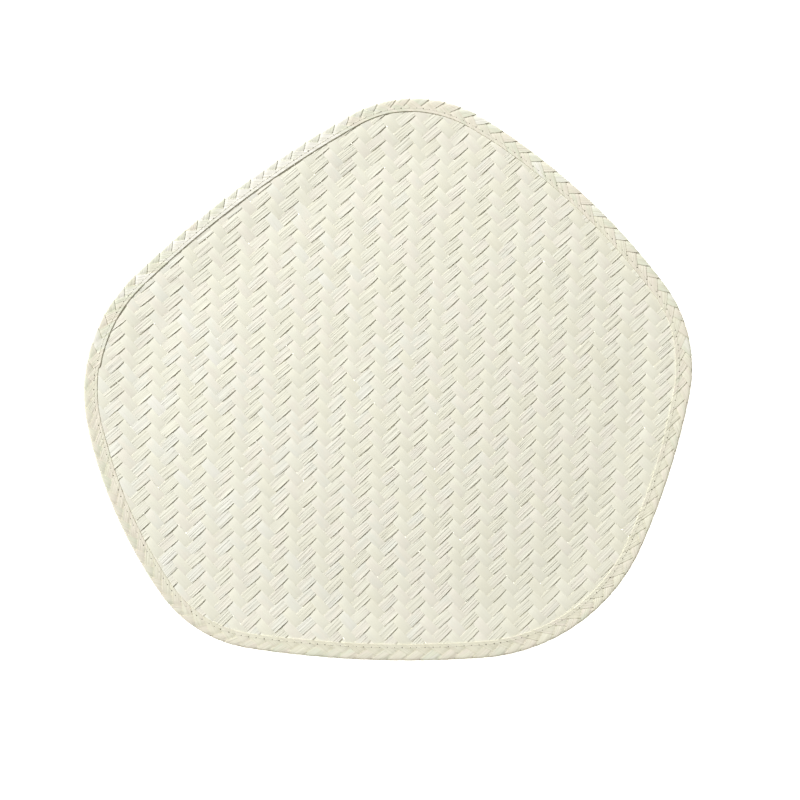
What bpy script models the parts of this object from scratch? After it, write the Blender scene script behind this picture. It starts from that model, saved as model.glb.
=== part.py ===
# Placemat: a mat of plaited palm leaf, with a folded plaited tape sewn round its cut edge.
# It lies flat. The photograph's right is +X, its top is +Y, and the underside rests at Z = 0.

import math

import bmesh
import bpy
from mathutils import Vector

# Driving dimensions, in metres.
MM = 0.001
FIELD_THICKNESS = 1.2 * MM
TAPE_THICKNESS = 0.9 * MM        # one ply of the folded tape
TAPE_WIDTH = 8.7 * MM            # what shows of it on the face, on average
TAPE_WIDTH_SWING = 0.7 * MM      # it is sewn on wider at the lower right, narrower at the upper left
TAPE_WIDEST_AT = math.radians(-50.0)
PIECE_GAP = 0.3 * MM             # between the tape and the mat that it wraps
RIM_GAP = 0.5 * MM               # between the tape's fold and the mat's cut edge

# The tape's plait shows as a row of leaning tiles, each stepping down a little to the next.
TILE_PITCH = 10.35 * MM
TILE_CREST = 0.15                # the tile's highest point, as a share of its pitch
TILE_NOTCH = 0.4 * MM            # how far the outer edge steps in between two tiles
TILE_STEP = 0.3 * MM             # how far the face steps down between two tiles
APEX_DEPTH = 4.6 * MM            # the line where the leaning tiles meet the inner ones
OUTER_LEAN = 5.6 * MM            # how far an outer tile's joint runs back along the tape
INNER_LEAN = 5.2 * MM            # how far an inner tile's joint runs forward again

# The fold is rounded: how far in it reaches, and its shoulder's inset and share of the half height.
FOLD_REACH = 1.4 * MM
SHOULDER_INSET = 0.3 * MM
SHOULDER_RISE = 0.45

# The field lies on the surface and climbs onto the tape's lower ply near its edge.
CLIMB_START = 10.5 * MM
CLIMB_END = 36.0 * MM
CLIMB_RINGS = 5

BOX_SAMPLES = 720                # points of the outline that its box is measured on

# The outline's five rounded corners, clockwise from the top one, in millimetres.
# Columns: the corner's centre x and y, its radius, and the radius of the bowed side after it.
CORNERS = (
    ("top", 16.3, 94.0, 81.5, 413.0),
    ("right", 102.4, 7.4, 87.4, 450.0),
    ("lower right", 51.3, -56.6, 116.9, 645.8),
    ("lower left", -73.8, -85.2, 83.0, 290.9),
    ("left", -88.7, -7.9, 100.6, 674.4),
)

# Principled BSDF values: colour (linear), roughness.
FIELD_FINISH = ((0.79, 0.76, 0.66), 0.55)
TAPE_FINISH = ((0.74, 0.71, 0.59), 0.6)


def clear_scene():
    for old in list(bpy.data.objects):
        bpy.data.objects.remove(old, do_unlink=True)


def side_centre(start, end, side_radius):
    """Centre of the side's arc, which runs smoothly from one corner's circle to the next one's."""
    (start_centre, start_radius), (end_centre, end_radius) = start, end
    reach_start = side_radius - start_radius
    reach_end = side_radius - end_radius
    along = end_centre - start_centre
    span = along.length
    along.normalize()
    inward = Vector((along.y, -along.x))
    foot = (reach_start**2 - reach_end**2 + span**2) / (2 * span)
    return start_centre + along * foot + inward * math.sqrt(reach_start**2 - foot**2)


def heading(centre, other):
    """Angle of the direction from one point to another."""
    step = centre - other
    return math.atan2(step.y, step.x)


def outline_arcs():
    """The outline as ten arcs, clockwise: centre, radius, first angle and swept angle."""
    circles = [(Vector((x * MM, y * MM)), radius * MM) for _, x, y, radius, _ in CORNERS]
    side_radii = [row[4] * MM for row in CORNERS]
    count = len(CORNERS)
    sides = [side_centre(circles[k], circles[(k + 1) % count], side_radii[k]) for k in range(count)]
    arcs = []
    for k, (centre, radius) in enumerate(circles):
        next_centre = circles[(k + 1) % count][0]
        joint_in = heading(centre, sides[k - 1])
        joint_out = heading(centre, sides[k])
        joint_next = heading(next_centre, sides[k])
        arcs.append((centre, radius, joint_in, (joint_in - joint_out) % math.tau))
        arcs.append((sides[k], side_radii[k], joint_out, (joint_out - joint_next) % math.tau))
    return arcs


class Outline:
    """The mat's outer edge, walked clockwise by distance, with points at any inset from it."""

    def __init__(self):
        self.arcs = outline_arcs()
        self.length = sum(radius * sweep for _, radius, _, sweep in self.arcs)
        self.middle = Vector((0.0, 0.0))
        walk = [self.point(self.length * k / BOX_SAMPLES, 0.0) for k in range(BOX_SAMPLES)]
        xs = [p.x for p in walk]
        ys = [p.y for p in walk]
        self.middle = Vector(((min(xs) + max(xs)) / 2, (min(ys) + max(ys)) / 2))

    def place(self, distance):
        """The arc that a distance falls on, and the angle there."""
        left = distance % self.length
        for centre, radius, first, sweep in self.arcs:
            if left <= radius * sweep:
                return centre, radius, first - left / radius
            left -= radius * sweep
        centre, radius, first, sweep = self.arcs[-1]
        return centre, radius, first - sweep

    def point(self, distance, inset):
        centre, radius, angle = self.place(distance)
        out = Vector((math.cos(angle), math.sin(angle)))
        return centre + out * (radius - inset) - self.middle

    def tape_width(self, distance):
        angle = self.place(distance)[2]
        return TAPE_WIDTH + TAPE_WIDTH_SWING * math.cos(angle - TAPE_WIDEST_AT)


def material(name, finish):
    colour, roughness = finish
    made = bpy.data.materials.new(name)
    made.use_nodes = True
    shader = made.node_tree.nodes["Principled BSDF"]
    shader.inputs["Base Color"].default_value = (*colour, 1.0)
    shader.inputs["Roughness"].default_value = roughness
    shader.inputs["Metallic"].default_value = 0.0
    return made


def add_object(name, mesh_builder, finish):
    """Makes one named object from a bmesh, with its faces pointing out."""
    bmesh.ops.recalc_face_normals(mesh_builder, faces=mesh_builder.faces)
    mesh = bpy.data.meshes.new(name)
    mesh_builder.to_mesh(mesh)
    mesh_builder.free()
    mesh.materials.append(material(name, finish))
    made = bpy.data.objects.new(name, mesh)
    bpy.context.collection.objects.link(made)
    return made


def join_rings(builder, rings, closed):
    """Faces between rings of vertices, and from the last ring to the first if it is closed."""
    pairs = list(zip(rings, rings[1:]))
    if closed:
        pairs.append((rings[-1], rings[0]))
    for one, other in pairs:
        for k in range(len(one)):
            after = (k + 1) % len(one)
            builder.faces.new((one[k], one[after], other[after], other[k]))


def field_heights():
    """Inset and underside height of each ring of the field, from its cut edge inwards."""
    rim_height = TAPE_THICKNESS + PIECE_GAP
    rings = [(TAPE_THICKNESS + RIM_GAP, rim_height)]
    for k in range(CLIMB_RINGS + 1):
        share = k / CLIMB_RINGS
        fall = share * share * (3 - 2 * share)
        inset = CLIMB_START + (CLIMB_END - CLIMB_START) * share
        rings.append((inset, rim_height * (1 - fall)))
    return rings


def make_woven_field(outline):
    """The sheet: flat on the surface inside, lifted by the tape's lower ply round its edge."""
    count = round(outline.length / TILE_PITCH)
    distances = [outline.length * k / count for k in range(count)]
    builder = bmesh.new()
    levels = field_heights()
    under = []
    over = []
    for inset, height in levels:
        places = [outline.point(distance, inset) for distance in distances]
        under.append([builder.verts.new((p.x, p.y, height)) for p in places])
        over.append([builder.verts.new((p.x, p.y, height + FIELD_THICKNESS)) for p in places])
    join_rings(builder, under[::-1] + over, closed=False)
    builder.faces.new(under[-1])
    builder.faces.new(over[-1])
    return add_object("woven_field", builder, FIELD_FINISH)


def tape_section(width, crest):
    """The folded tape's closed section: depth from the edge, height, and lean along the tape.

    Between two tiles (crest 0) the edge and the face step in and down; on a crest they are full.
    """
    total = 2 * (TAPE_THICKNESS + PIECE_GAP) + FIELD_THICKNESS
    edge = TILE_NOTCH * (1 - crest)
    face = total - TILE_STEP * (1 - crest)
    middle = total / 2
    lip_lean = INNER_LEAN - OUTER_LEAN
    return (
        (width, 0.0, lip_lean),
        (APEX_DEPTH, 0.0, -OUTER_LEAN),
        (edge + FOLD_REACH, 0.0, -FOLD_REACH),
        (edge + SHOULDER_INSET, middle * SHOULDER_RISE, 0.0),
        (edge, middle, 0.0),
        (edge + SHOULDER_INSET, face - middle * SHOULDER_RISE, 0.0),
        (edge + FOLD_REACH, face, -FOLD_REACH),
        (APEX_DEPTH, face, -OUTER_LEAN),
        (width, face, lip_lean),
        (width, total - TAPE_THICKNESS, lip_lean),
        (TAPE_THICKNESS, total - TAPE_THICKNESS, 0.0),
        (TAPE_THICKNESS, TAPE_THICKNESS, 0.0),
        (width, TAPE_THICKNESS, lip_lean),
    )


def make_edge_binding(outline):
    """The plaited tape, folded over the edge: one closed ring of U-shaped sections."""
    tiles = round(outline.length / TILE_PITCH)
    pitch = outline.length / tiles
    builder = bmesh.new()
    sections = []
    for tile in range(tiles):
        for share, crest in ((0.0, 0.0), (TILE_CREST, 1.0)):
            distance = (tile + share) * pitch
            width = outline.tape_width(distance)
            section = []
            for depth, height, lean in tape_section(width, crest):
                p = outline.point(distance + lean, depth)
                section.append(builder.verts.new((p.x, p.y, height)))
            sections.append(section)
    join_rings(builder, sections, closed=True)
    return add_object("edge_binding", builder, TAPE_FINISH)


def main():
    clear_scene()
    outline = Outline()
    make_woven_field(outline)
    make_edge_binding(outline)


main()
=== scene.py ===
# Placemat of plaited palm leaf: a twill mat with a folded plaited tape sewn round its edge.
# It lies on a pale floor and is seen from straight above, lit softly from the upper left.

import math

import bpy
import numpy as np
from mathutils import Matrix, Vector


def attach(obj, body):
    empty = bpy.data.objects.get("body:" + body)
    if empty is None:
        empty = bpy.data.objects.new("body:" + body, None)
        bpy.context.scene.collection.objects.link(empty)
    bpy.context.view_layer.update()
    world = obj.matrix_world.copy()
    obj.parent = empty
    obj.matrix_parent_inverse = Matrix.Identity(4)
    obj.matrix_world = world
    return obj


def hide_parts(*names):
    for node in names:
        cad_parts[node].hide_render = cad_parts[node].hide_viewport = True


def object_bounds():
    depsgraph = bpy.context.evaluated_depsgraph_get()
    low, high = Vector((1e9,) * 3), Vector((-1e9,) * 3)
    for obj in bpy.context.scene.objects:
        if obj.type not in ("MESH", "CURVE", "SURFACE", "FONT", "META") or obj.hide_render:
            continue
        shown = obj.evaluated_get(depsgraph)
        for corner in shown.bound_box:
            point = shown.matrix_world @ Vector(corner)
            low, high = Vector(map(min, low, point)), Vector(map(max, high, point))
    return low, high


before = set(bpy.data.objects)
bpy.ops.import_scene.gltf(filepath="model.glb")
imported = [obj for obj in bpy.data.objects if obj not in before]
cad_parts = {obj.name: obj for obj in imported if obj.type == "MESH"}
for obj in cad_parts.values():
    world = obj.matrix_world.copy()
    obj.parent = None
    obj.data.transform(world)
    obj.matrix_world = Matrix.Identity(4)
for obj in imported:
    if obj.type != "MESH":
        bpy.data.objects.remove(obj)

cadLow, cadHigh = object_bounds()
mm = 0.001

# The mat as laid out, in millimetres where no unit is named.
mat = {
    # The outline's five rounded corners, clockwise from the top:
    # centre x and y, radius, and the radius of the bowed side after it.
    "corners": (
        (16.3, 94.0, 81.5, 413.0),
        (102.4, 7.4, 87.4, 450.0),
        (51.3, -56.6, 116.9, 645.8),
        (-73.8, -85.2, 83.0, 290.9),
        (-88.7, -7.9, 100.6, 674.4),
    ),
    "fieldThickness": 1.2,
    "tapePly": 0.9,           # one side of the folded tape
    "pieceGap": 0.3,
    "rimRise": 0.18,          # leaf is springy, so the field stands off the lower ply by this
    "climbStart": 10.5,       # the field climbs onto the tape's lower ply between these insets
    "climbEnd": 36.0,
}


def outlineArcs(corners):
    # Ten arcs, clockwise: centre x and y, radius, first angle, swept angle.
    circles = [(np.array(row[:2]), row[2]) for row in corners]
    sides = []
    for k, (start, startRadius) in enumerate(circles):
        end, endRadius = circles[(k + 1) % len(circles)]
        reachStart = corners[k][3] - startRadius
        reachEnd = corners[k][3] - endRadius
        span = np.linalg.norm(end - start)
        along = (end - start) / span
        inward = np.array((along[1], -along[0]))
        foot = (reachStart**2 - reachEnd**2 + span**2) / (2 * span)
        sides.append(start + along * foot + inward * math.sqrt(reachStart**2 - foot**2))
    arcs = []
    for k, (centre, radius) in enumerate(circles):
        after = circles[(k + 1) % len(circles)][0]
        joints = [math.atan2(*(a - b)[::-1]) for a, b in
                  ((centre, sides[k - 1]), (centre, sides[k]), (after, sides[k]))]
        arcs.append((*centre, radius, joints[0], (joints[0] - joints[1]) % math.tau))
        arcs.append((*sides[k], corners[k][3], joints[1], (joints[1] - joints[2]) % math.tau))
    return np.array(arcs)


arcs = outlineArcs(mat["corners"])
arcEnds = np.cumsum(arcs[:, 2] * arcs[:, 4])
perimeter = arcEnds[-1]


def outlinePoint(distance, inset, middle=(0.0, 0.0)):
    # Points at distances walked clockwise along the edge, each at its own inset.
    distance = np.asarray(distance) % perimeter
    k = np.minimum(np.searchsorted(arcEnds, distance), len(arcs) - 1)
    angle = arcs[k, 3] - (distance - arcEnds[k] + arcs[k, 2] * arcs[k, 4]) / arcs[k, 2]
    reach = arcs[k, 2] - inset
    x = arcs[k, 0] + reach * np.cos(angle) - middle[0]
    y = arcs[k, 1] + reach * np.sin(angle) - middle[1]
    return x, y, angle


walkX, walkY, _ = outlinePoint(np.linspace(0, perimeter, 720, endpoint=False), 0.0)
middle = ((walkX.min() + walkX.max()) / 2, (walkY.min() + walkY.max()) / 2)


def insetOf(x, y):
    # How far inside the outline each point lies.
    nearest = np.full(np.shape(x), 1e9)
    for cx, cy, radius, first, sweep in arcs:
        dx = x + middle[0] - cx
        dy = y + middle[1] - cy
        turned = (first - np.arctan2(dy, dx)) % math.tau
        inset = radius - np.hypot(dx, dy)
        nearest = np.where(turned <= sweep, np.minimum(nearest, inset), nearest)
    return nearest


def smooth(t):
    t = np.clip(t, 0.0, 1.0)
    return t * t * (3 - 2 * t)


def fieldFloor(x, y):
    # Height of the field's underside: on the surface inside, up on the tape's lower ply at the rim.
    rim = mat["tapePly"] + mat["pieceGap"] + mat["rimRise"]
    share = (insetOf(x, y) - mat["climbStart"]) / (mat["climbEnd"] - mat["climbStart"])
    return rim * (1 - smooth(share))


# Colours and materials


def linear(hexColour):
    # sRGB hex to linear RGBA.
    channels = [int(hexColour[k:k + 2], 16) / 255 for k in (1, 3, 5)]
    return (*[c / 12.92 if c <= 0.04045 else ((c + 0.055) / 1.055) ** 2.4 for c in channels], 1.0)


def addNode(tree, kind, settings=None, inputs=None):
    # One node with its settings; an input is a value or another node's output.
    node = tree.nodes.new(kind)
    for key, value in (settings or {}).items():
        setattr(node, key, value)
    for key, value in (inputs or {}).items():
        if isinstance(value, bpy.types.NodeSocket):
            tree.links.new(value, node.inputs[key])
        else:
            node.inputs[key].default_value = value
    return node


# Palm leaf: young fan palm leaf, boiled, sun bleached, slit and plaited by hand.
# The eye sees a cream matt strip with fine lengthwise fibres and a faint waxy sheen;
# neighbouring strips differ a little towards green, pink and grey.
palmLeaf = {
    "white": "#f4f2ea",
    "ash": "#ecece0",
    "rose": "#eeeadd",
    "cream": "#edecdd",
    "straw": "#ebe9d8",
    "fibre": "#dcd8c5",
    "fibrePitch": 0.62,       # mm; real fibres lie about 0.2 apart, and are drawn coarser to show
    "fibreRun": 26.0,         # mm that a fibre keeps its tone
    "rib": 1.15,              # mm between the leaf's ribs
    "ribHeight": 0.3,
    "crease": 0.9,            # mm between the fine creases where a strip was bent and split in slitting
    "creaseHeight": 0.16,
    "roughness": 0.62,
    "gloss": 0.22,            # bleached and dry, so little of the leaf's wax is left
}


# The tape's leaf is the same, left a little greener and less bleached.
tapeLeaf = dict(palmLeaf, white="#f8f6ed", ash="#e5e7d3", rose="#eee7d8", cream="#edebd8",
                straw="#ebe7d3", fibre="#c9c5a8", creaseHeight=0.08)


def leafMaterial(name, look):
    made = bpy.data.materials.new(name)
    made.use_nodes = True
    tree = made.node_tree
    tree.nodes.clear()
    place = addNode(tree, "ShaderNodeAttribute", {"attribute_name": "leafPlace"})
    parts = addNode(tree, "ShaderNodeSeparateXYZ", inputs={0: place.outputs["Vector"]})
    across, along, seed = parts.outputs

    def strand(pitch, run, detail, rough=0.5):
        # A noise drawn out along the strip: pitch across, run along, both in mm.
        u = addNode(tree, "ShaderNodeMath", {"operation": "MULTIPLY"}, {0: across, 1: 1 / pitch})
        v = addNode(tree, "ShaderNodeMath", {"operation": "MULTIPLY"}, {0: along, 1: 1 / run})
        w = addNode(tree, "ShaderNodeMath", {"operation": "MULTIPLY"}, {0: seed, 1: 37.0})
        spot = addNode(tree, "ShaderNodeCombineXYZ",
                       inputs={0: u.outputs[0], 1: v.outputs[0], 2: w.outputs[0]})
        noise = addNode(tree, "ShaderNodeTexNoise", {"noise_dimensions": "3D"},
                        {"Vector": spot.outputs[0], "Scale": 1.0, "Detail": detail,
                         "Roughness": rough})
        return noise.outputs["Fac"]

    fibres = strand(look["fibrePitch"], look["fibreRun"], 3.0, 0.6)
    ribs = strand(look["rib"], look["fibreRun"] * 2.2, 2.0, 0.6)
    patches = strand(5.0, 14.0, 2.0)

    # each strip leans to one of five tones, by its own number
    tone = addNode(tree, "ShaderNodeAttribute", {"attribute_name": "leafTone"})
    stray = addNode(tree, "ShaderNodeMapRange",
                    inputs={0: patches, 1: 0.25, 2: 0.75, 3: -0.2, 4: 0.2})
    mixed = addNode(tree, "ShaderNodeMath", {"operation": "ADD"},
                    {0: tone.outputs["Fac"], 1: stray.outputs[0]})
    ramp = addNode(tree, "ShaderNodeValToRGB", inputs={"Fac": mixed.outputs[0]})
    ramp.color_ramp.elements[0].position = 0.0
    ramp.color_ramp.elements[0].color = linear(look["white"])
    ramp.color_ramp.elements[1].position = 1.0
    ramp.color_ramp.elements[1].color = linear(look["straw"])
    for position, key in ((0.25, "ash"), (0.45, "rose"), (0.65, "cream")):
        ramp.color_ramp.elements.new(position).color = linear(look[key])
    weight = addNode(tree, "ShaderNodeMapRange",
                     inputs={0: fibres, 1: 0.5, 2: 0.8, 3: 0.0, 4: 0.55})
    colour = addNode(tree, "ShaderNodeMix", {"data_type": "RGBA"},
                     {"Factor": weight.outputs[0], 6: ramp.outputs["Color"],
                      7: linear(look["fibre"])})
    shade = addNode(tree, "ShaderNodeMapRange",
                    inputs={0: patches, 1: 0.3, 2: 0.7, 3: 0.965, 4: 1.02})
    toned = addNode(tree, "ShaderNodeMix", {"data_type": "RGBA", "blend_type": "MULTIPLY"},
                    {"Factor": 1.0, 6: colour.outputs[2], 7: shade.outputs[0]})

    # creases: sharp little steps, strong in some places and missing in others
    folds = strand(look["crease"], look["fibreRun"] * 2.4, 1.0, 0.5)
    worn = strand(9.0, 16.0, 1.0)
    sharp = addNode(tree, "ShaderNodeMapRange", {"interpolation_type": "SMOOTHSTEP"},
                    {0: folds, 1: 0.5, 2: 0.58, 3: 0.0, 4: 1.0})
    strong = addNode(tree, "ShaderNodeMapRange", inputs={0: worn, 1: 0.42, 2: 0.62, 3: 0.1, 4: 1.0})
    creases = addNode(tree, "ShaderNodeMath", {"operation": "MULTIPLY"},
                      {0: sharp.outputs[0], 1: strong.outputs[0]})
    creaseBump = addNode(tree, "ShaderNodeBump",
                         inputs={"Height": creases.outputs[0], "Strength": 1.0,
                                 "Distance": look["creaseHeight"] * mm})
    ribBump = addNode(tree, "ShaderNodeBump",
                      inputs={"Height": ribs, "Strength": 1.0, "Distance": look["ribHeight"] * mm,
                              "Normal": creaseBump.outputs[0]})
    fibreBump = addNode(tree, "ShaderNodeBump",
                        inputs={"Height": fibres, "Strength": 1.0, "Distance": 0.07 * mm,
                                "Normal": ribBump.outputs[0]})
    rough = addNode(tree, "ShaderNodeMapRange",
                    inputs={0: fibres, 1: 0.3, 2: 0.7, 3: look["roughness"] - 0.06,
                            4: look["roughness"] + 0.12})
    shader = addNode(tree, "ShaderNodeBsdfPrincipled",
                     inputs={"Base Color": toned.outputs[2], "Roughness": rough.outputs[0],
                             "Normal": fibreBump.outputs[0]})
    shader.inputs["IOR"].default_value = 1.45
    shader.inputs["Specular IOR Level"].default_value = look["gloss"]
    shader.inputs["Sheen Weight"].default_value = 0.04
    shader.inputs["Sheen Roughness"].default_value = 0.4
    addNode(tree, "ShaderNodeOutputMaterial", inputs={"Surface": shader.outputs[0]})
    return made


leaf = leafMaterial("palm leaf strip", palmLeaf)
# The falling strips are the same leaf as the rising ones. Light runs along them, so their fibre streaks
# shade little; this copy paints that with paler fibre lines, and gives lower ribs and creases.
alongLightLeaf = leafMaterial("palm leaf strip, fibre shading painted weaker",
                          dict(palmLeaf, ribHeight=0.14, creaseHeight=0.03, fibre="#e4e1cf"))
greenerLeaf = leafMaterial("palm leaf tape", tapeLeaf)
print("materials made")


# Ribbons: every strip is a closed flat ribbon, given as rings of points.


def ribbonObject(name, strips, material):
    # Joins strips into one mesh. A strip is (points, place, tone): points has the shape
    # (sections, ring, 3) in mm, with the ring's first half on top and its second half below, reversed.
    allPoints, allPlaces, allTones, quads = [], [], [], []
    count = 0
    for points, place, tone in strips:
        sections, ring = points.shape[:2]
        index = count + np.arange(sections * ring).reshape(sections, ring)
        after = np.roll(index, -1, axis=1)
        side = np.stack((index[:-1], after[:-1], after[1:], index[1:]), -1).reshape(-1, 4)
        half = ring // 2
        caps = []
        for row, turn in ((index[0], 1), (index[-1], -1)):
            top = row[:half]
            below = row[half:][::-1]
            cap = np.stack((top[:-1], below[:-1], below[1:], top[1:]), -1)
            caps.append(cap[:, ::turn])
        quads.extend((side, *caps))
        allPoints.append(points.reshape(-1, 3))
        allPlaces.append(place.reshape(-1, 3))
        allTones.append(tone.reshape(-1))
        count += sections * ring
    quads = np.concatenate(quads)
    mesh = bpy.data.meshes.new(name)
    mesh.vertices.add(count)
    mesh.vertices.foreach_set("co", (np.concatenate(allPoints) * mm).astype(np.float32).ravel())
    mesh.loops.add(quads.size)
    mesh.loops.foreach_set("vertex_index", quads.astype(np.int32).ravel())
    mesh.polygons.add(len(quads))
    mesh.polygons.foreach_set("loop_start", np.arange(0, quads.size, 4, dtype=np.int32))
    mesh.update(calc_edges=True)
    spot = mesh.attributes.new("leafPlace", "FLOAT_VECTOR", "POINT")
    spot.data.foreach_set("vector", np.concatenate(allPlaces).astype(np.float32).ravel())
    tones = mesh.attributes.new("leafTone", "FLOAT", "POINT")
    tones.data.foreach_set("value", np.concatenate(allTones).astype(np.float32))
    mesh.shade_smooth()
    mesh.set_sharp_from_angle(angle=math.radians(50))
    mesh.materials.append(material)
    made = bpy.data.objects.new(name, mesh)
    bpy.context.collection.objects.link(made)
    return made


# The weave: 2/2 twill. Rising strips run up to the right, falling strips down to the right,
# and each goes over two and under two, one step on from its neighbour.
weave = {
    # Where rising strip 20q crosses falling strip 20r: constant, q, r, q*q, q*r, r*r.
    # The squared terms are the slow drift of hand plaiting.
    "crossX": (0.9, 82.4, 88.2, 0.0, -2.6, 0.5),
    "crossY": (6.8, -92.7, 79.8, 2.2, 3.4, 0.1),
    "risingFirst": -25,
    "risingLast": 34,
    "fallingFirst": -36,
    "fallingLast": 30,
    "leafThickness": 0.28,
    "rise": 0.3,              # how far a strip's middle swings above and below the mat's
    "tilt": 0.14,             # a rising strip's lower edge stands above its upper edge by this
    "lift": 0.16,             # how far a rising strip's lower edge stands off what dives under it
    "closer": 0.22,           # the plait lies closer towards the right
    "tuck": 0.08,             # how far its upper edge is pressed down under the next one
    "risingWidth": 0.932,     # a strip's width, as a share of the pitch
    "fallingWidth": 1.03,
    "risingArch": 0.42,       # how blunt a float's arch is: lower is blunter
    "fallingArch": 0.6,
    "late": 0.22,             # how much later a falling strip climbs, as a share of the pitch
    "pitch": 6.0,             # mm between strips, for the leaf's own pattern
    "unevenWidth": 0.012,     # hand-cut strips differ in width by this share
    "wander": 0.03,           # and stray sideways by this share of the pitch
    "crown": 0.05,            # a strip is a little higher along its middle
    "clearance": 0.03,        # between the lowest leaf and the surface
    "yellower": 0.2,          # the strips' tone drifts towards straw from left to right
    "points": 9,              # across a strip's face
    "cutInset": 2.0,          # the strips are cut this far inside the outline, in the fold
    "seed": 7,
}
# where along its two crossings a float gets its sections, closer at its ends
floatSteps = (0.0, 0.1, 0.32, 0.66, 1.0, 1.34, 1.68, 1.9)


def crossing(i, j):
    # Position in mm of any point of the weave, by its place between the strips.
    q, r = i / 20, j / 20
    terms = (1.0, q, r, q * q, q * r, r * r)
    x = sum(a * t for a, t in zip(weave["crossX"], terms)) - middle[0]
    y = sum(a * t for a, t in zip(weave["crossY"], terms)) - middle[1]
    return x, y


def weaveStrip(number, rising, draw):
    # One strip from rim to rim, or nothing where it misses the mat.
    w = weave
    low, high = ((w["fallingFirst"], w["fallingLast"]) if rising
                 else (w["risingFirst"], w["risingLast"]))
    # phase 0 to 2 is a rising strip's float over the falling ones, 2 to 4 is under
    start = 2 * math.floor((low + number + 0.5) / 2)
    floats = np.arange(start, high + number + 0.5, 2)
    phase = (floats[:, None] + np.array(floatSteps)).ravel()
    run = phase - number - 0.5
    width = w["risingWidth" if rising else "fallingWidth"] * (1 + draw.normal(0, w["unevenWidth"]))
    drift = draw.normal(0, w["wander"], len(floats) + 1)
    wander = np.interp(phase, floats[0] + 2 * np.arange(len(drift)), drift)[:, None]
    share = np.sin(np.linspace(-1, 1, w["points"]) * 1.3) / math.sin(1.3) / 2
    place = number + wander + share[None, :] * width
    along = np.broadcast_to(run[:, None], place.shape)
    x, y = crossing(place, along) if rising else crossing(along, place)
    inside = insetOf(x, y)
    keep = np.flatnonzero(inside.min(axis=1) > w["cutInset"])
    if len(keep) < 2:
        return None
    keep = slice(keep[0], keep[-1] + 1)
    x, y, phase, run = x[keep], y[keep], phase[keep], run[keep]
    share = np.broadcast_to(share, x.shape)

    # the arch: over from 0 to 2 for a rising strip, from 2 to 4 for a falling one
    # a falling strip climbs late, so it stays deep under the edge that it comes out from
    late = 0.0 if rising else w["late"] * np.exp(-(((phase % 4) - 2) / 0.4) ** 2)
    wave = np.sin((phase - late) * math.pi / 2) * (1 if rising else -1)
    blunt = w["risingArch"] if rising else w["fallingArch"]
    arch = np.sign(wave) * np.abs(wave) ** blunt
    cell = np.floor(phase / 2).astype(int)
    vary = draw.normal(1.0, 0.12, cell.max() - cell.min() + 1)[cell - cell.min()]
    height = w["rise"] * arch[:, None] * np.clip(vary, 0.75, 1.2)[:, None]

    # a rising strip's lower edge stands off from about a quarter along each float,
    # and its upper edge is tucked down over the float's second half
    half = (phase % 2)[:, None]
    if rising:
        stand = np.clip(draw.normal(1.0, 0.35, cell.max() - cell.min() + 1), 0.35, 1.7)
        begin = draw.triangular(-0.4, 0.35, 0.85, cell.max() - cell.min() + 1)
        stand = stand[cell - cell.min()][:, None] * (1 - w["closer"] * x / 190)
        begin = begin[cell - cell.min()][:, None]
        over = np.clip(arch, 0, 1)[:, None]
        farEdge = smooth((share - 0.3) / 0.2)
        nearEdge = smooth((-share - 0.1) / 0.4)
        opened = stand * over * smooth((half - begin) / 0.5)
        height = height + opened * (w["lift"] * farEdge + w["tilt"] * share)
        height = height - w["tuck"] * over * nearEdge * smooth((half - 0.7) / 0.5)
    height = height + w["crown"] * (1 - (2 * share) ** 2)

    base = fieldFloor(x, y) + mat["fieldThickness"] / 2 + w["clearance"]
    thick = w["leafThickness"]
    top = np.stack((x, y, base + height + thick / 2), -1)
    below = np.stack((x, y, base + height - thick / 2), -1)
    points = np.concatenate((top, below[:, ::-1]), axis=1)
    length = run * w["pitch"]
    spots = np.stack((share * w["pitch"], np.broadcast_to(length[:, None], share.shape),
                      np.full(share.shape, draw.random() * 100)), -1)
    spots = np.concatenate((spots, spots[:, ::-1]), axis=1)
    tone = draw.uniform(0.3, 0.95) + w["yellower"] * points[..., 0] / 190
    if not rising:
        points = points[:, ::-1]
        spots = spots[:, ::-1]
    return points, spots, tone


def makeWeave():
    draw = np.random.default_rng(weave["seed"])
    made = []
    for rising, word in ((True, "rising"), (False, "falling")):
        first = weave[word + "First"]
        last = weave[word + "Last"]
        strips = [weaveStrip(k, rising, draw) for k in range(first, last + 1)]
        strips = [s for s in strips if s is not None]
        sizes = np.cumsum([points.size for points, _, _ in strips])
        cut = int(np.searchsorted(sizes, sizes[-1] / 2)) + 1
        for part, some in enumerate((strips[:cut], strips[cut:]), 1):
            piece = ribbonObject(f"{word}_strips_{part}", some, leaf if rising else alongLightLeaf)
            made.append(piece)
            print(piece.name, len(some), "strips", len(piece.data.polygons) * 2, "triangles")
    return made


weavePieces = makeWeave()
for piece in weavePieces:
    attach(piece, "root")
    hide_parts("woven_field")

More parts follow.
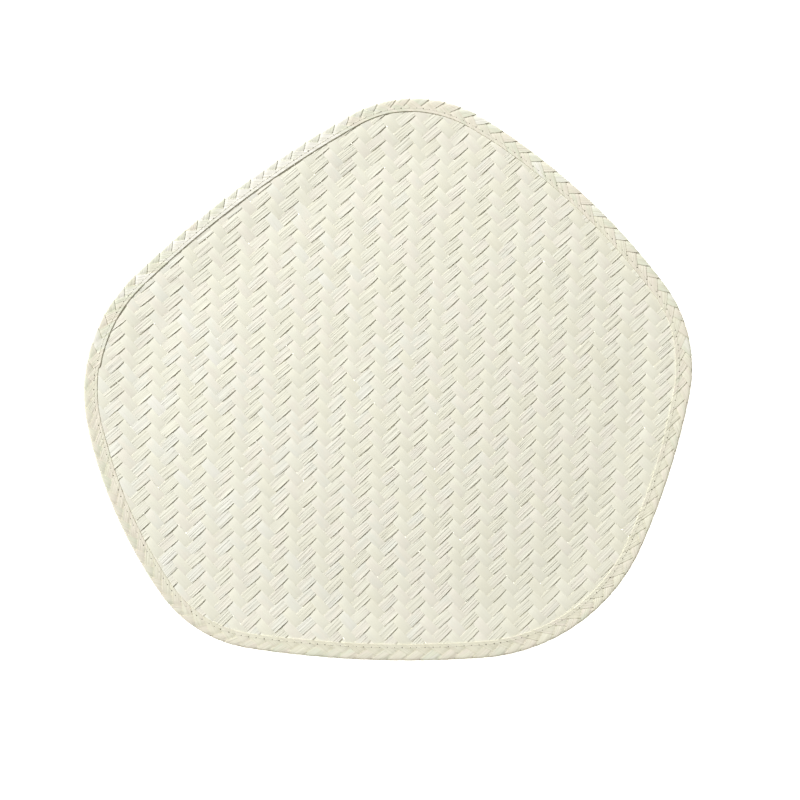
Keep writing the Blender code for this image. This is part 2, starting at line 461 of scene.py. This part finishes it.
# The tape: a plaited palm strip, folded in half over the mat's cut edge and sewn down.
# Its outer strips lean back from the fold and dive under the inner ones, which run on to the selvage.
tape = {
    "tiles": 110,
    "tileJitter": 0.05,       # share of the pitch
    "total": 3.6,             # outside to outside of the folded tape
    "foldReach": 1.4,
    # what shows of it on the face, by distance clockwise from the top left: it wanders as it was sewn
    "widths": ((0, 8.2), (25, 7.9), (62, 9.0), (80, 9.4), (110, 9.1), (270, 9.1), (290, 10.2),
               (325, 10.2), (350, 9.4), (427, 9.2), (470, 9.6), (547, 10.4), (650, 9.9), (712, 8.8),
               (851, 9.6), (906, 8.2), (907.5, 9.0), (960, 8.4), (1138, 8.2)),
    "join": 907.0,            # where the tape's end lies over its beginning
    "joinRise": 0.3,
    "apexFromSelvage": 3.3,   # where an outer strip's clockwise edge ends under an inner strip
    "outerSlope": 0.75,
    "innerSlope": 0.65,
    "leanFrom": 0.9,          # the strips run straight over the fold, and lean from this depth on
    "stripWidth": 6.2,        # for the leaf's own pattern
    "leafThickness": 0.3,
    "dive": 0.5,              # how deep a strip runs under the one that crosses it
    "shingle": 0.7,           # how deep a strip's first edge lies under the strip beside it
    "gape": 0.9,              # how far two outer strips stand apart on the fold
    # how far the stitching presses the inner strips down, by the same distances
    "press": ((0, 0.42), (60, 0.42), (150, 0.5), (400, 0.55), (700, 0.55), (850, 0.6), (906, 0.58),
              (907.5, 0.38), (1040, 0.3), (1120, 0.32), (1138, 0.4)),
    # how the leaf's tone changes along the tape, from 0, bleached, to 1, straw
    "outerTones": ((0, 0.15), (60, 0.28), (130, 0.32), (200, 0.3), (280, 0.4), (350, 0.5), (700, 0.5),
                   (780, 0.45), (905, 0.4), (960, 0.25), (1040, 0.15), (1138, 0.15)),
    "innerTones": ((0, 0.3), (60, 0.45), (150, 0.5), (300, 0.5), (420, 0.75), (640, 0.75), (780, 0.55),
                   (905, 0.4), (960, 0.1), (1040, -0.05), (1110, -0.05), (1138, 0.2)),
    "lip": 0.16,              # the selvage is rounded over this width, and drops by this much
    "lipDrop": 0.5,
    "seed": 23,
}


def tapeChart(name, distance):
    # One of the tape's charts, read at distances along the edge.
    at, values = zip(*tape[name])
    return np.interp(np.asarray(distance) % perimeter, at, values)


def tapeWidth(distance):
    return tapeChart("widths", distance)


def tapeSurface(distance, depth, turn, sink):
    # A point of the tape's outside, sunk by some mm: depth from the edge on the flat plies,
    # or a turn from 1 (face) over 0 (the fold's middle) to -1 (underside) on the fold.
    t = tape
    half = t["total"] / 2
    reach = t["foldReach"]
    angle = turn * math.pi / 2
    onFold = np.abs(turn) < 1
    outward = np.where(onFold, np.cos(angle), 0.0)
    upward = np.where(onFold, np.sin(angle), np.sign(turn))
    flatSink = tapeChart("press", distance) * smooth((depth - reach) / 5.5)
    past = np.asarray(distance) % perimeter - t["join"]
    flatSink = flatSink - t["joinRise"] * (past > 0) * (1 - smooth(past / 9.0)) * (np.asarray(turn) > 0)
    inset = np.where(onFold, reach * (1 - outward), depth) + sink * outward
    z = half + (half - np.where(onFold, 0.0, flatSink)) * upward - sink * upward
    x, y, _ = outlinePoint(distance, inset, middle)
    return np.stack((x, y, z), -1)


def tapeLean(depth):
    return np.maximum(depth - tape["leanFrom"], 0.0) / tape["outerSlope"]


def tapeStrip(distance, depth, turn, sink, across, along, draw, tone, flip):
    # One closed strip from a grid of places on the tape's outside.
    top = tapeSurface(distance, depth, turn, sink)
    below = tapeSurface(distance, depth, turn, sink + tape["leafThickness"])
    points = np.concatenate((top, below[:, ::-1]), axis=1)
    spots = np.stack((across, along, np.full(across.shape, draw.random() * 100)), -1)
    spots = np.concatenate((spots, spots[:, ::-1]), axis=1)
    if flip:
        points = points[:, ::-1]
        spots = spots[:, ::-1]
    return points, spots, np.full(points.shape[:2], tone + draw.normal(0, 0.12))


def makeTape():
    t = tape
    draw = np.random.default_rng(t["seed"])
    tiles = t["tiles"]
    pitch = perimeter / tiles
    edges = (np.arange(tiles + 3) - 1) * pitch
    edges = edges + np.tile(draw.normal(0, t["tileJitter"] * pitch, tiles), 2)[:tiles + 3]
    tilt = math.atan(t["innerSlope"])
    outer = []
    inner = []
    for k in range(1, tiles + 1):
        edge, before, after = edges[k], edges[k - 1], edges[k + 1]
        step = edge - before
        apex = float(tapeWidth(edge)) - t["apexFromSelvage"]
        # the outer strip: over the fold, from the face's inner strips to the underside's
        flat = np.linspace(apex + 1.2, t["foldReach"], 8)
        fold = np.linspace(0.86, -0.86, 8)
        depth = np.concatenate((flat, np.zeros(8), flat[::-1]))[:, None]
        turn = np.concatenate((np.ones(8), fold, -np.ones(8)))[:, None]
        share = np.linspace(-0.12, 1.0, 8)[None, :]
        side = np.sign(turn)
        real = np.where(np.abs(turn) < 1, t["foldReach"] * (1 - np.cos(turn * math.pi / 2)), depth)
        face = turn > 0
        raised = np.where(face, share, 1 - share)
        gape = t["gape"] * (1 - smooth((real - 0.6) / 3.2)) * smooth(raised * 8 - 7)
        place = edge - side * tapeLean(real) - (1 - share) * step - side * gape
        anchor = np.where(face, edge - tapeLean(apex), before + tapeLean(apex))
        clear = (side * (place - anchor) * t["innerSlope"] - (real - apex)) * math.cos(tilt)
        ease = np.clip(np.abs(turn) * 1.5 - 0.2, 0, 1)
        sink = t["dive"] * (1 - smooth((clear + 0.5) / 1.9)) * ease
        sink = sink + t["shingle"] * (1 - smooth(raised * 3.0)) * (1.2 - 0.4 * ease)
        length = np.broadcast_to(-side * (real + 1.1) * 1.6, place.shape)
        across = share * t["stripWidth"] + 0 * place
        outer.append(tapeStrip(place, depth, turn + 0 * place, sink, across,
                               length, draw, float(tapeChart("outerTones", edge)), False))
        # the inner strips, on the face and on the underside
        for side, at, far in ((1, edge, after), (-1, before, edges[k - 2] if k > 1 else before - step)):
            wide = float(tapeWidth(at))
            apex = wide - t["apexFromSelvage"]
            depth = np.append(np.linspace(apex - 4.3, wide, 10), wide + t["lip"])[:, None]
            depth = np.maximum(depth, 1.45)
            share = np.linspace(-0.06, 1.0, 8)[None, :]
            gap = abs(far - at)
            line = far - side * tapeLean(apex) + side * (depth - apex) / t["innerSlope"]
            place = line - side * (1 - share) * gap
            clear = side * (place - (at - side * tapeLean(depth))) * 0.6
            sink = t["dive"] * 1.2 * (1 - smooth((clear + 0.3) / 1.7))
            sink = sink + t["shingle"] * 0.28 * (1 - smooth(share * 3.0)) + 0 * place
            sink[-1] += t["lipDrop"]
            turn = side * np.ones(place.shape)
            along = np.broadcast_to(depth * 1.8, place.shape)
            deep = depth + (tapeWidth(place) - wide) * smooth((depth - apex) / 3.0)
            across = share * t["stripWidth"] + 0 * place
            inner.append(tapeStrip(place, deep, turn, sink, across, along, draw,
                                   float(tapeChart("innerTones", at)), side > 0))
    return [ribbonObject("tape_outer_strips", outer, greenerLeaf),
            ribbonObject("tape_inner_strips", inner, greenerLeaf)]


# The seam: one row of machine stitches in fine undyed cotton, close to the selvage.
# Each stitch is a short taut thread that dives into a needle hole at both ends.
seam = {
    "stitch": 4.85,           # mm from hole to hole
    "fromSelvage": 1.9,
    "threadRadius": 0.13,
    "holeRadius": 0.36,
    "thread": "#e9e6d6",
    "hole": "#5d5844",        # painted shadow: the dark of a needle hole's pit, which lies in shade
    "seed": 5,
}


def plainMaterial(name, hexColour, roughness, grain):
    # Twisted cotton, or the painted shadow in a needle hole: one colour, broken up by a fine grain.
    made = bpy.data.materials.new(name)
    made.use_nodes = True
    tree = made.node_tree
    tree.nodes.clear()
    place = addNode(tree, "ShaderNodeTexCoord")
    noise = addNode(tree, "ShaderNodeTexNoise", None,
                    {"Vector": place.outputs["Object"], "Scale": 1 / (grain * mm)})
    bump = addNode(tree, "ShaderNodeBump", None,
                   {"Height": noise.outputs["Fac"], "Strength": 0.6, "Distance": 0.05 * mm})
    shader = addNode(tree, "ShaderNodeBsdfPrincipled", None,
                     {"Base Color": linear(hexColour), "Roughness": roughness,
                      "Normal": bump.outputs[0]})
    addNode(tree, "ShaderNodeOutputMaterial", None, {"Surface": shader.outputs[0]})
    return made


def addBeads(name, shapes, material):
    # Joins closed round shapes: each is a list of rings' centres, radii and axes, capped by points.
    points, faces = [], []
    for path, radii in shapes:
        path = np.asarray(path, float)
        first = len(points)
        axis = path[-1] - path[0]
        axis /= np.linalg.norm(axis)
        side = np.cross(axis, (0.0, 0.0, 1.0)) if abs(axis[2]) < 0.9 else np.cross(axis, (1.0, 0, 0))
        side /= np.linalg.norm(side)
        up = np.cross(side, axis)
        ring = 6
        points.append(path[0])
        for centre, radius in zip(path[1:-1], radii):
            for k in range(ring):
                turn = math.tau * k / ring
                points.append(centre + radius * (math.cos(turn) * side + math.sin(turn) * up))
        points.append(path[-1])
        last = len(points) - 1
        rows = len(radii)
        for k in range(ring):
            after = (k + 1) % ring
            faces.append((first, first + 1 + after, first + 1 + k))
            for row in range(rows - 1):
                a = first + 1 + row * ring
                faces.append((a + k, a + after, a + ring + after, a + ring + k))
            a = first + 1 + (rows - 1) * ring
            faces.append((last, a + k, a + after))
    mesh = bpy.data.meshes.new(name)
    mesh.from_pydata([tuple(np.asarray(p) * mm) for p in points], [], faces)
    mesh.shade_smooth()
    mesh.materials.append(material)
    made = bpy.data.objects.new(name, mesh)
    bpy.context.collection.objects.link(made)
    return made


def makeSeam():
    s = seam
    draw = np.random.default_rng(s["seed"])
    count = round(perimeter / s["stitch"])
    at = (np.arange(count) + draw.normal(0, 0.07, count)) * perimeter / count
    threads, holes = [], []
    for side in (1, -1):
        spots = []
        for distance in at:
            depth = tapeWidth(distance) - s["fromSelvage"]
            spots.append(tapeSurface(np.array(distance), depth, np.array(float(side)), 0.0))
        for k, spot in enumerate(spots):
            after = spots[(k + 1) % count]
            step = after - spot
            out = np.array((0.0, 0.0, float(side)))
            r = s["threadRadius"]
            # share of the way to the next hole, and height: down at both ends, taut between them
            stations = ((0.04, -0.5), (0.06, -0.3), (0.14, 0.0), (0.5, 0.03), (0.86, 0.0),
                        (0.94, -0.3), (0.96, -0.5))
            path = [spot + step * share + out * rise for share, rise in stations]
            threads.append((path, (r, r, r, r, r)))
            # each needle hole is a small dark bead just proud of the tape: painted shadow of the hole's
            # pit
            wide = s["holeRadius"] * draw.uniform(0.6, 1.15)
            holes.append(([spot - out * 0.3, spot - out * 0.2, spot + out * 0.02, spot + out * 0.05],
                          (wide * 0.6, wide)))
    return [addBeads("sewing_thread", threads, plainMaterial("cotton thread", s["thread"], 0.8, 0.3)),
            addBeads("needle_hole_shadows", holes, plainMaterial("painted needle hole shadow", s["hole"], 0.9, 0.3))]


tapePieces = makeTape() + makeSeam()
# The sheet is the whole mat. Its area is that of the first piece, half of the mat's 0.103 m2,
# since that piece alone is measured.
for piece in tapePieces:
    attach(piece, "root")
    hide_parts("edge_binding")
    print(piece.name, len(piece.data.polygons) * 2, "triangles")

# The floor, the light and the camera.
studio = {
    "photoWidth": 498.0,      # mm of the floor that the picture's width takes in
    "photoMiddle": (7.8, -12.6),
    "lens": 85.0,
    "keyAzimuth": 134.0,      # where the key light stands, anticlockwise from +X
    "keyHeight": 42.0,        # degrees above the floor
    "keyDistance": 3.3,
    "keySize": 0.33,
    "keyPower": 117.0,
    "fillColour": "#fffaec",  # light come off warm walls, and off the leaf itself
    "keyColour": "#fcfdff",
    "fill": 0.3,
    "floorReach": 40.0,       # m, so that its far edge stays out of low views
    "floorGlow": 1.2,         # the floor is a lit white table: it shows no shadow
}


def makeStudio():
    s = studio
    floorMesh = bpy.data.meshes.new("floor")
    reach = s["floorReach"]
    floorMesh.from_pydata([(-reach, -reach, 0), (reach, -reach, 0), (reach, reach, 0),
                           (-reach, reach, 0)], [], [(0, 1, 2, 3)])
    paper = bpy.data.materials.new("white paper sweep")
    paper.use_nodes = True
    shader = paper.node_tree.nodes["Principled BSDF"]
    shader.inputs["Base Color"].default_value = linear("#fafafa")
    shader.inputs["Roughness"].default_value = 0.9
    shader.inputs["Emission Color"].default_value = (1.0, 1.0, 1.0, 1.0)
    shader.inputs["Emission Strength"].default_value = s["floorGlow"]
    floorMesh.materials.append(paper)
    floor = bpy.data.objects.new("floor", floorMesh)
    bpy.context.collection.objects.link(floor)

    scene = bpy.context.scene
    scene.view_settings.view_transform = "Standard"
    world = bpy.data.worlds.new("studio")
    scene.world = world
    world.use_nodes = True
    sky = world.node_tree.nodes["Background"]
    sky.inputs["Color"].default_value = linear(s["fillColour"])
    sky.inputs["Strength"].default_value = s["fill"]

    azimuth = math.radians(s["keyAzimuth"])
    height = math.radians(s["keyHeight"])
    key = bpy.data.lights.new("key", "AREA")
    key.shape = "DISK"
    key.size = s["keySize"]
    key.energy = s["keyPower"]
    key.color = linear(s["keyColour"])[:3]
    lamp = bpy.data.objects.new("key", key)
    lamp.location = (s["keyDistance"] * math.cos(height) * math.cos(azimuth),
                     s["keyDistance"] * math.cos(height) * math.sin(azimuth),
                     s["keyDistance"] * math.sin(height))
    lamp.rotation_euler = (math.pi / 2 - height, 0.0, azimuth + math.pi / 2)
    bpy.context.collection.objects.link(lamp)

    lens = bpy.data.cameras.new("camera")
    lens.lens = s["lens"]
    camera = bpy.data.objects.new("camera", lens)
    faceHeight = cadHigh[2] / 2
    away = s["photoWidth"] * mm * lens.lens / lens.sensor_width
    camera.location = ((s["photoMiddle"][0] - middle[0]) * mm,
                       (s["photoMiddle"][1] - middle[1]) * mm, faceHeight + away)
    lens.clip_end = 80.0
    bpy.context.collection.objects.link(camera)
    scene.camera = camera


makeStudio()
print("studio made")
